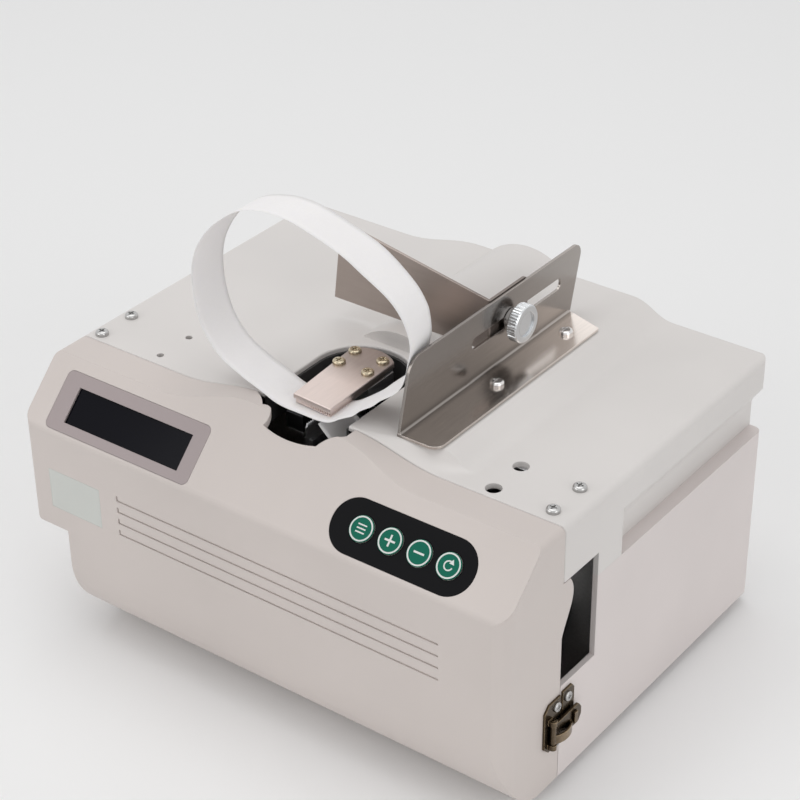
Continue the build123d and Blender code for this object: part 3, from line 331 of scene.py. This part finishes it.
def rollMaterial(name, colour, centre, pitch):
    # wound edge of a paper roll: fine rings round the reel axis
    mat, tree, body = startMaterial(name)
    parts = addNode(tree, "ShaderNodeSeparateXYZ")
    tree.links.new(objectPlace(tree), parts.inputs[0])
    flatPlace = addNode(tree, "ShaderNodeCombineXYZ")
    tree.links.new(addMath(tree, "SUBTRACT", parts.outputs["X"], centre[0]), flatPlace.inputs["X"])
    tree.links.new(addMath(tree, "SUBTRACT", parts.outputs["Z"], centre[1]), flatPlace.inputs["Z"])
    away = addNode(tree, "ShaderNodeVectorMath", operation="LENGTH")
    tree.links.new(flatPlace.outputs[0], away.inputs[0])
    rings = noiseAt(tree, combineLength(tree, away.outputs["Value"]), 1 / pitch, 3.0, 0.7)
    dark = shade(colour, rollLook["darkRings"])
    tone = mixColour(tree, mapRange(tree, rings, 0, 1, 0.35, 0.65), dark, colour)
    tree.links.new(tone, body.inputs["Base Color"])
    body.inputs["Roughness"].default_value = rollLook["rough"]
    bump(tree, body, rings, rollLook["relief"], rollLook["depth"])
    return mat


def mouldedPlastic(name, colour, rough=0.45, grainDepth=0.00002, fineness=1800.0, wear=0.25, soil=0.93):
    mat, tree, body = startMaterial(name)
    surface = useGroup(tree, grain, Fineness=fineness)
    edge = useGroup(tree, softEdge, Amount=wear)
    drift = surface.outputs["Drift"]
    tone = mixColour(tree, mapRange(tree, drift, 0, 1, 0.35, 0.7), shade(colour, soil), colour)
    rubbed = mixColour(tree, edge.outputs["Edge"], tone, shade(colour, plasticLook["rubbed"]))
    tree.links.new(rubbed, body.inputs["Base Color"])
    gloss = mapRange(tree, drift, rough - plasticLook["smoother"], rough + plasticLook["duller"])
    tree.links.new(gloss, body.inputs["Roughness"])
    bump(tree, body, surface.outputs["Height"], plasticLook["relief"], grainDepth, edge.outputs["Normal"])
    return mat


def paintLightRamps(tree, colour, paintedLight):
    # painted light and shade: each ramp is an axis, where it starts and ends, and the tone at its end as a
    # multiple of the first
    for axis, start, end, level in paintedLight:
        parts = addNode(tree, "ShaderNodeSeparateXYZ")
        tree.links.new(objectPlace(tree), parts.inputs[0])
        scaled = addNode(tree, "ShaderNodeVectorMath", operation="SCALE")
        tree.links.new(colour, scaled.inputs[0])
        tree.links.new(mapRange(tree, parts.outputs[axis], 1.0, level, start, end), scaled.inputs["Scale"])
        colour = scaled.outputs[0]
    return colour


def brushedMetal(name, colour, stretch, rough=0.28, depth=0.000012, dark=0.8, swell=0.0, paintedLight=(),
                 rim=1.2):
    # swell is the height of a sheet's slow waves, and rim how many times lighter its edges are painted, as
    # wear and, on the stainless guides, as a painted highlight along edges and bends
    mat, tree, body = startMaterial(name, Metallic=1.0)
    lines = useGroup(tree, brush, Stretch=stretch)
    edge = useGroup(tree, softEdge, Amount=metalLook["wear"])
    scratch = lines.outputs["Lines"]
    tone = mixColour(tree, mapRange(tree, scratch, 0, 1, 0.3, 0.7), shade(colour, dark), colour)
    # painted light ramps first, then edges lightened as wear and as a painted highlight
    worn = mixColour(tree, edge.outputs["Edge"], paintLightRamps(tree, tone, paintedLight), shade(colour, rim))
    tree.links.new(worn, body.inputs["Base Color"])
    low, high = rough - metalLook["smoother"], rough + metalLook["duller"]
    blotch = mapRange(tree, lines.outputs["Cloud"], low, high)
    streak = mapRange(tree, scratch, *metalLook["streak"])
    tree.links.new(addMath(tree, "ADD", blotch, streak), body.inputs["Roughness"])
    normal = edge.outputs["Normal"]
    if swell:
        bend = addNode(tree, "ShaderNodeBump")
        bend.inputs["Distance"].default_value = swell
        tree.links.new(noiseAt(tree, objectPlace(tree), metalLook["waves"], 1.0), bend.inputs["Height"])
        tree.links.new(normal, bend.inputs["Normal"])
        normal = bend.outputs["Normal"]
    bump(tree, body, scratch, metalLook["relief"], depth, normal)
    return mat


def platedMetal(name, colour, rough=0.18, speck=0.75, rubbed=None, grit=0.2, paintedLight=()):
    # rubbed is the bare metal of worn edges, on the bronze latch also a painted highlight, and grit is how
    # far the gloss wanders
    mat, tree, body = startMaterial(name, Metallic=1.0)
    cloud = useGroup(tree, brush, Stretch=(1, 1, 1))
    edge = useGroup(tree, softEdge, Amount=platedLook["wear"])
    specks = cloud.outputs["Lines"]
    tone = mixColour(tree, mapRange(tree, specks, 0, 1, 0.3, 0.75), shade(colour, speck), colour)
    bare = rubbed or shade(colour, platedLook["rubbed"])
    worn = mixColour(tree, edge.outputs["Edge"], paintLightRamps(tree, tone, paintedLight), bare)
    tree.links.new(worn, body.inputs["Base Color"])
    low, high = rough - platedLook["smoother"] * grit, rough + platedLook["duller"] * grit
    tree.links.new(mapRange(tree, specks, low, high), body.inputs["Roughness"])
    bump(tree, body, cloud.outputs["Cloud"], platedLook["relief"], platedLook["depth"],
         edge.outputs["Normal"])
    return mat


def paperMaterial(name, colour):
    mat, tree, body = startMaterial(name)
    body.inputs["Subsurface Weight"].default_value = paperLook["glow"]
    body.inputs["Subsurface Radius"].default_value = paperLook["glowRadius"]
    place = objectPlace(tree)
    fibre = noiseAt(tree, place, paperLook["fibres"], 6.0, 0.75)
    cloud = noiseAt(tree, place, paperLook["clouds"], 4.0)
    fibreShade, cloudShade = shade(colour, paperLook["fibreTone"]), shade(colour, paperLook["cloudTone"])
    tone = mixColour(tree, mapRange(tree, fibre, 0, 1, 0.35, 0.65), fibreShade, colour)
    clouded = mixColour(tree, mapRange(tree, cloud, 0, paperLook["cloudShare"], 0.3, 0.8), tone, cloudShade)
    tree.links.new(clouded, body.inputs["Base Color"])
    tree.links.new(mapRange(tree, fibre, *paperLook["rough"]), body.inputs["Roughness"])
    bump(tree, body, fibre, paperLook["relief"], paperLook["depth"])
    return mat


# finish of each material slot; a few pieces have one of their own
finishes = {
    "shell": mouldedPlastic("lightGreyShell", (0.755, 0.725, 0.705)),
    "door_shell": mouldedPlastic("warmGreyDoor", (0.675, 0.612, 0.580)),
    "tray_shell": mouldedPlastic("paleTray", (0.768, 0.705, 0.688)),
    # painted reflection and light: the stainless guide grows lighter towards the rear, its flange is
    # painted lighter than its wall as lit from above, and its edges and bend carry a painted highlight
    "stainless": brushedMetal("brushedStainless", (0.26, 0.238, 0.222), (1.0, 0.05, 1.0), rough=0.15,
                              depth=0.000004, dark=0.93, swell=0.0010, rim=3.4,
                              paintedLight=(("Y", 0.005, 0.075, 1.6), ("X", 0.0435, 0.047, 2.25))),
    # painted shade: the back guide darkens towards its right end, where it runs behind the right guide, and
    # its edges carry a painted highlight
    "back_stainless": brushedMetal("crossBrushedStainless", (0.40, 0.345, 0.315), (0.05, 1.0, 1.0),
                                   rough=0.32, depth=0.000004, dark=0.93, swell=0.0006, rim=1.9,
                                   paintedLight=(("X", 0.0, 0.036, 0.55),)),
    "nickel": platedMetal("nickelKnob", (0.66, 0.675, 0.69), rough=0.2, speck=0.95, grit=0.04),
    "chrome": platedMetal("chromeScrew", (0.88, 0.86, 0.85), rough=0.1, speck=0.6),
    # painted shade: the plate darkens towards its rear
    "champagne": brushedMetal("champagnePlate", (0.72, 0.62, 0.58), (1.0, 0.08, 1.0), rough=0.34,
                              depth=0.000006, dark=0.92, swell=0.0002,
                              paintedLight=(("Y", -0.038, -0.022, 0.59),)),
    "steel": brushedMetal("machinedSteel", (0.56, 0.56, 0.57), (1.0, 0.2, 1.0), rough=0.32),
    "zinc": platedMetal("platedScrew", (0.56, 0.555, 0.55), rough=0.13, speck=0.7),
    "brass": platedMetal("brassScrew", (0.63, 0.545, 0.40), rough=0.1, speck=0.5),
    # painted highlight: the latch's outer end is painted up to 3.2 times lighter, and its rubbed edges are
    # bare-metal wear brightened as a painted highlight
    "bronze": platedMetal("antiqueBronze", (0.125, 0.096, 0.066), rough=0.2, speck=0.6,
                          rubbed=(0.9, 0.66, 0.38), paintedLight=(("X", 0.1302, 0.1327, 3.2),)),
    "black": mouldedPlastic("blackPlastic", (0.006, 0.006, 0.007), fineness=1600.0, wear=0.2),
    "dark_collar": mouldedPlastic("darkCollar", (0.06, 0.058, 0.058)),
    "frame_grey": mouldedPlastic("frameGrey", (0.385, 0.325, 0.325), rough=0.32, grainDepth=0.00001,
                                 fineness=2400.0, wear=0.5),
    "lens": mouldedPlastic("displayLens", (0.003, 0.003, 0.006), rough=0.12, grainDepth=0.0,
                           fineness=2400.0, wear=0.0),
    "key_green": mouldedPlastic("greenKey", (0.0, 0.135, 0.085), rough=0.3, grainDepth=0.000008,
                                fineness=2400.0, wear=0.2),
    "rubber": mouldedPlastic("blackRubber", (0.022, 0.022, 0.022), rough=0.75, grainDepth=0.00004,
                             fineness=1200.0, wear=0.1),
    "paper": paperMaterial("whitePaper", (0.95, 0.93, 0.93)),
    "label": mouldedPlastic("clearLabel", (0.64, 0.655, 0.622), rough=0.22, grainDepth=0.000004,
                            fineness=2400.0, wear=0.1),
    "aluminium": brushedMetal("darkAnodised", (0.07, 0.07, 0.075), (1.0, 0.1, 1.0), rough=0.4),
    "coil": mouldedPlastic("tapedWinding", (0.55, 0.30, 0.05), rough=0.4, grainDepth=0.00003,
                           fineness=900.0, wear=0.1),
    "board": mouldedPlastic("greenBoard", (0.01, 0.13, 0.05), rough=0.3, grainDepth=0.00001,
                            fineness=1500.0, wear=0.1),
    "parts": mouldedPlastic("blackParts", (0.05, 0.05, 0.055), rough=0.35, grainDepth=0.00001,
                            fineness=1500.0, wear=0.3),
    "iron": brushedMetal("coreIron", (0.25, 0.25, 0.26), (0.2, 1.0, 0.2), rough=0.5),
}
whiteInk = mouldedPlastic("whiteInk", (0.80, 0.82, 0.80), rough=0.4, grainDepth=0.000004, fineness=2400.0,
                          wear=0.0)
ownFinish = {
    "tape_roll": rollMaterial("woundPaper", (0.88, 0.87, 0.84), (0.066, 0.064), 0.0006),
    "base_tray": finishes["tray_shell"],
    "back_fence": finishes["back_stainless"],
    "thumb_screw": finishes["nickel"],
    "fence_screws": finishes["chrome"],
}
glossLevels = {"lens": 0.08, "black": 0.07, "dark_collar": 0.2, "key_green": 0.15}
for slot, gloss in glossLevels.items():
    shader = finishes[slot].node_tree.nodes["Principled BSDF"]
    shader.inputs["Specular IOR Level"].default_value = gloss
for row in frame["record"]["subparts"]:
    obj = nodes[row["node"]]
    obj.data.materials.clear()
    obj.data.materials.append(ownFinish.get(row["node"], finishes[row["material_slot"]]))
print("finishes assigned to", len(nodes), "nodes")

# paper tape, in metres
tape = {
    "thick": 0.00014,
    "cup": 0.00018,
    "wave": 0.00010,
    "waves": 3,
    "across": 9,  # points across the strip
    "rows": 240,
    "between": 24,  # steps between two control points
    "step": 0.0004,
    "ply": 0.0006,  # facing points of a drawn strip are nearer than this
    "sameSide": 0.00001,
}
loop = {  # control points of the two edges, mm; the strip leans back where it passes the right guide
    "front": [
        (-2.0, -61.2, 136.4), (7.0, -61.2, 136.5), (12.6, -61.0, 137.6), (17.6, -60.2, 140.7),
        (22.3, -58.2, 142.8), (25.3, -56.7, 145.6), (29.9, -54.7, 148.4), (32.9, -53.2, 151.3),
        (37.0, -51.2, 154.1), (40.2, -49.4, 157.6), (41.5, -47.8, 162.4), (41.9, -46.4, 168.4),
        (42.4, -45.4, 174.3), (41.2, -45.3, 181.0), (38.4, -46.7, 189.4), (33.5, -48.7, 196.9),
        (24.4, -51.7, 205.2), (15.0, -54.2, 212.7), (0.6, -57.2, 219.9), (-9.8, -58.7, 223.1),
        (-21.9, -60.2, 223.3), (-33.4, -61.2, 219.4), (-48.0, -61.2, 207.0), (-56.5, -61.2, 192.0),
        (-58.0, -61.2, 176.0), (-54.0, -61.2, 160.0), (-45.5, -61.2, 149.5), (-34.0, -61.2, 143.6),
        (-24.0, -61.2, 140.1), (-17.0, -61.2, 137.4), (-11.0, -61.2, 136.4),
    ],
    "rear": [
        (-2.0, -41.2, 136.4), (7.0, -41.2, 136.5), (12.2, -41.0, 138.0), (16.6, -40.2, 140.8),
        (19.8, -38.2, 142.9), (22.8, -36.7, 145.2), (26.5, -34.7, 148.9), (30.1, -33.2, 152.3),
        (33.6, -31.0, 155.4), (36.4, -28.8, 159.0), (37.6, -27.0, 163.4), (37.9, -25.8, 168.3),
        (38.2, -25.2, 173.3), (38.0, -25.8, 180.0), (37.1, -26.7, 185.8), (32.8, -28.7, 194.8),
        (22.2, -31.7, 206.4), (11.2, -34.2, 213.4), (-4.7, -37.2, 220.4), (-13.6, -38.2, 222.0),
        (-22.6, -39.2, 221.6), (-35.2, -41.2, 217.9), (-48.0, -41.2, 207.0), (-56.5, -41.2, 192.0),
        (-58.0, -41.2, 176.0), (-54.0, -41.2, 160.0), (-45.5, -41.2, 149.5), (-34.0, -41.2, 143.6),
        (-24.0, -41.2, 140.1), (-17.0, -41.2, 137.4), (-11.0, -41.2, 136.4),
    ],
}


def smoothEdge(points, count):
    # a closed curve through the points, cut into equal steps
    points = [Vector(p) / 1000 for p in points]
    fine = []
    for i in range(len(points)):
        a, b, c, d = (points[(i + k) % len(points)] for k in (-1, 0, 1, 2))
        for j in range(tape["between"]):
            t = j / tape["between"]
            bend = 2 * b + (c - a) * t + (2 * a - 5 * b + 4 * c - d) * t ** 2
            fine.append((bend + (3 * b - a - 3 * c + d) * t ** 3) / 2)
    fine.append(fine[0])
    runs = [0.0]
    for a, b in zip(fine, fine[1:]):
        runs.append(runs[-1] + (b - a).length)
    out, at = [], 0
    for i in range(count):
        goal = runs[-1] * i / count
        while runs[at + 1] < goal:
            at += 1
        part = (goal - runs[at]) / (runs[at + 1] - runs[at])
        out.append(fine[at].lerp(fine[at + 1], part))
    return out


def leadLine(node):
    # the centre line of a drawn strip, from the pairs of points on its two faces
    mesh = nodes[node].data
    low = min(v.co.y for v in mesh.vertices)
    rim = [(v.co.x, v.co.z) for v in mesh.vertices if v.co.y < low + tape["sameSide"]]
    mids = set()
    for i, a in enumerate(rim):
        b = min((p for j, p in enumerate(rim) if j != i), key=lambda p: math.dist(p, a))
        if math.dist(a, b) < tape["ply"]:
            mids.add((round((a[0] + b[0]) / 2, 6), round((a[1] + b[1]) / 2, 6)))
    path = []
    for p in sorted(mids, key=lambda p: p[1]):
        if not path or math.dist(p, path[-1]) > tape["step"]:
            path.append(p)
    return path


def paperStrip(name, node, front, rear, closed):
    # a sheet between two edge curves, slightly cupped across and wavy along
    count = len(front)
    bm = bmesh.new()

    def rowAt(i):
        before = (i - 1) % count if closed else max(i - 1, 0)
        after = (i + 1) % count if closed else min(i + 1, count - 1)
        along = (front[after] - front[before]).normalized()
        side = along.cross((rear[i] - front[i]).normalized())
        out = []
        for k in range(tape["across"]):
            v = k / (tape["across"] - 1)
            lift = tape["cup"] * (1 - (2 * v - 1) ** 2) - tape["cup"] * 0.5
            lift += tape["wave"] * math.sin(2 * math.pi * tape["waves"] * i / count) * (v - 0.5)
            out.append(front[i].lerp(rear[i], v) + side * lift)
        return out

    rows = [[bm.verts.new(co) for co in rowAt(i)] for i in range(count)]
    ends = zip(rows, rows[1:] + rows[:1]) if closed else zip(rows, rows[1:])
    for low, high in ends:
        for k in range(tape["across"] - 1):
            bm.faces.new((low[k], low[k + 1], high[k + 1], high[k]))
    bmesh.ops.recalc_face_normals(bm, faces=bm.faces)
    bmesh.ops.solidify(bm, geom=bm.faces, thickness=tape["thick"])
    for face in bm.faces:
        face.smooth = True
    strip = linkMesh(name, bm)
    strip.data.materials.append(finishes["paper"])
    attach(strip, "housing")
    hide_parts(node)


paperStrip("paperLoop", "tape_loop", smoothEdge(loop["front"], tape["rows"]),
           smoothEdge(loop["rear"], tape["rows"]), True)
leadSides = [v.co.y for v in nodes["tape_lead"].data.vertices]
lead = leadLine("tape_lead")
paperStrip("paperLead", "tape_lead", [Vector((x, min(leadSides), z)) for x, z in lead],
           [Vector((x, max(leadSides), z)) for x, z in lead], False)
print("paper tape made")

# printed rings and signs on the four keys, in metres and degrees
keys = {
    "bodies": ("fun_key", "plus_key", "minus_key", "reset_key"),
    "places": (0.0515, 0.06563, 0.07976, 0.09389),
    "crease": (-0.0756, 0.1316),  # y and z of the upper edge of the slanted panel
    "drop": 0.0206,  # from there down to the middle of the keys
    "face": 0.0009,  # how far the keys stand out
    "ring": (0.00462, 0.00528),
    "ink": 0.00004,
    "bar": 0.00085,  # width of a bar
    "sign": 0.0050,  # length of a bar
    "menu": {"lifts": (-0.0016, 0.0, 0.0016), "length": 0.86, "width": 0.7},  # three smaller bars
    "arrow": {"ring": (0.0016, 0.0022), "sweep": 270, "start": 75, "steps": 30, "head": 56, "size": 0.0014},
    "down": (0, -0.71147, -0.70272),  # directions along the panel and out of it
    "outward": (0, -0.70272, 0.71147),
}


def keyFrame(x):
    down, outward = Vector(keys["down"]), Vector(keys["outward"])
    spot = Vector((x, *keys["crease"])) + down * keys["drop"] + outward * keys["face"]
    turn = Matrix(((1, 0, 0), tuple(-down), tuple(outward))).transposed().to_4x4()
    return Matrix.Translation(spot) @ turn


def inkBar(bm, length, width, across=0.0):
    place = Matrix.Translation((0, across, keys["ink"] / 2))
    size = Matrix.Diagonal((length, width, keys["ink"], 1))
    bmesh.ops.create_cube(bm, size=1.0, matrix=place @ size)


def inkRing(bm, inner, outer, sweep=2 * math.pi, start=0.0, steps=48):
    low, high = Vector((inner, 0, 0)), Vector((outer, 0, 0))
    lift = Vector((0, 0, keys["ink"]))
    turn = Matrix.Rotation(start, 3, "Z")
    corners = [bm.verts.new(turn @ co) for co in (low, high, high + lift, low + lift)]
    outline = [bm.edges.new((corner, corners[i - 1])) for i, corner in enumerate(corners)]
    full = sweep > 2 * math.pi - 1e-6
    bmesh.ops.spin(bm, geom=[*corners, *outline], cent=(0, 0, 0), axis=(0, 0, 1), angle=sweep, steps=steps,
                   use_merge=full)
    if not full:
        bmesh.ops.holes_fill(bm, edges=[edge for edge in bm.edges if edge.is_boundary], sides=4)


def arrowHead(bm, radius, angle, size):
    # a triangle at the end of a ring segment, a little thicker than the ring so that no faces coincide
    depth = keys["ink"] * 1.1
    ret = bmesh.ops.create_cone(bm, cap_ends=True, segments=3, radius1=size, radius2=size, depth=depth)
    place = Matrix.Rotation(angle, 4, "Z") @ Matrix.Translation((radius, 0, depth / 2))
    bmesh.ops.transform(bm, verts=ret["verts"], matrix=place @ Matrix.Rotation(math.pi, 4, "Z"))


def keySign(kind, bm):
    wide, long = keys["bar"], keys["sign"]
    if kind == "plus_key":
        inkBar(bm, long, wide)
        for side in (-1, 1):
            inkBar(bm, wide, (long - wide) / 2, across=side * (long + wide) / 4)
    if kind == "minus_key":
        inkBar(bm, long, wide)
    if kind == "fun_key":
        bars = keys["menu"]
        for lift in bars["lifts"]:
            inkBar(bm, long * bars["length"], wide * bars["width"], across=lift)
    if kind == "reset_key":
        arrow = keys["arrow"]
        sweep, start, head = (math.radians(arrow[k]) for k in ("sweep", "start", "head"))
        inkRing(bm, *arrow["ring"], sweep, start, arrow["steps"])
        arrowHead(bm, sum(arrow["ring"]) / 2, head, arrow["size"])


for body, x in zip(keys["bodies"], keys["places"]):
    ringMesh = bmesh.new()
    inkRing(ringMesh, *keys["ring"])
    keySign(body, ringMesh)
    bmesh.ops.transform(ringMesh, verts=ringMesh.verts, matrix=keyFrame(x))
    mark = linkMesh(body + "_print", ringMesh)
    mark.data.materials.append(whiteInk)
    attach(mark, body)
print("key prints made")

bpy.context.scene.view_settings.view_transform = "Standard"
